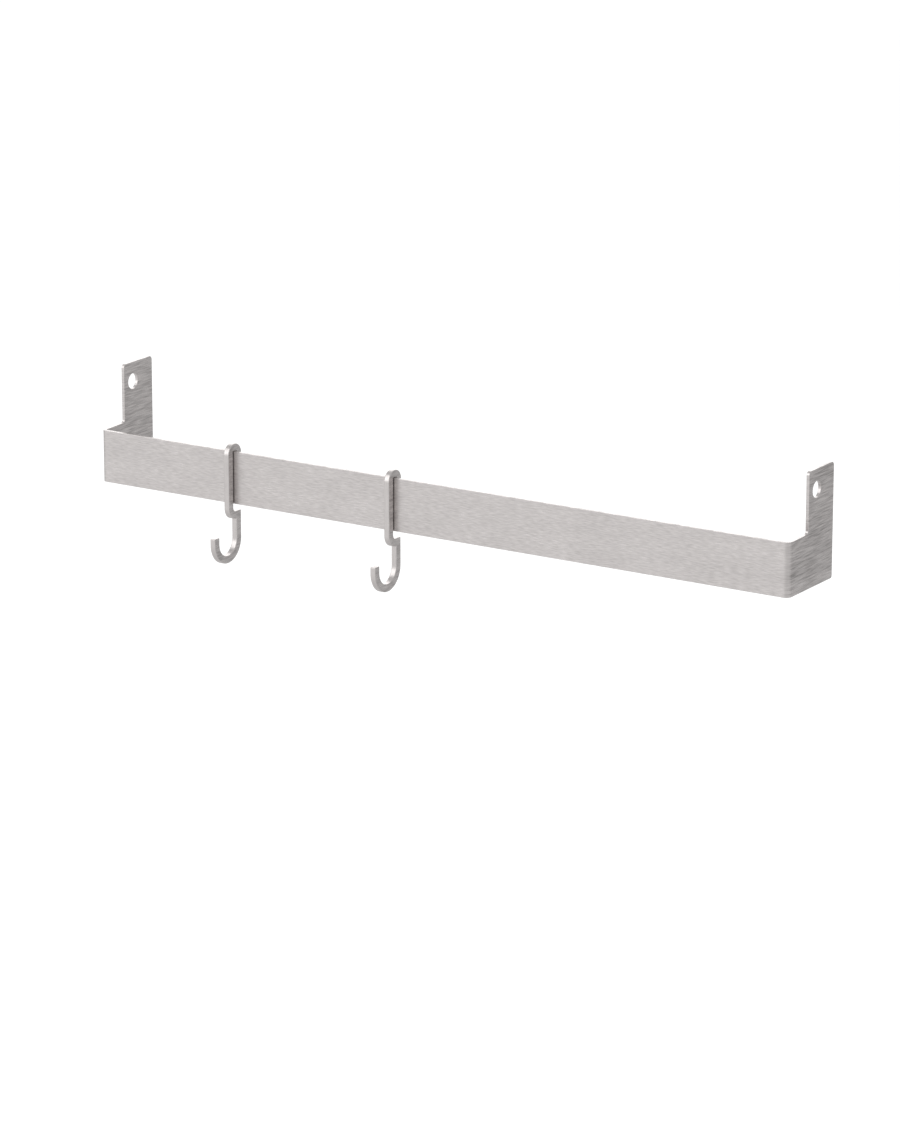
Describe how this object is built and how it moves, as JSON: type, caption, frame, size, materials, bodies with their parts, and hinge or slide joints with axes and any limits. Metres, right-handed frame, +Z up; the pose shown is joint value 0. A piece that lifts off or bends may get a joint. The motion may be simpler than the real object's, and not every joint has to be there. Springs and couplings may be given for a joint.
{
  "type": "wall hook rack",
  "caption": "Long bent flat-steel bar with an upright drilled ear at each end, and flat-cut J-hooks that hang over its top edge and slide along it.",
  "frame": {"origin": "midway between the two ear holes, on the axis that they share", "axes": "+X along the bar to the right as seen from the front, -Y to the front where the hooks' tips point, +Z up"},
  "size_m": [0.59, 0.088, 0.1289],
  "materials": {
    "bar_steel": "satin, brushed along the bar",
    "hook_steel": "satin, plain cut edges"
  },
  "bodies": {
    "bar": {"rack_bar": "bar_steel"},
    "hook_left": {"left_hook": "hook_steel"},
    "hook_right": {"right_hook": "hook_steel"}
  },
  "joints": [
    {"name": "left_hook_slide", "type": "slide", "parent": "bar", "child": "hook_left", "axis": [1, 0, 0], "range_m": [-0.112, 0.067]},
    {"name": "right_hook_slide", "type": "slide", "parent": "bar", "child": "hook_right", "axis": [1, 0, 0], "range_m": [-0.067, 0.322]}
  ]
}
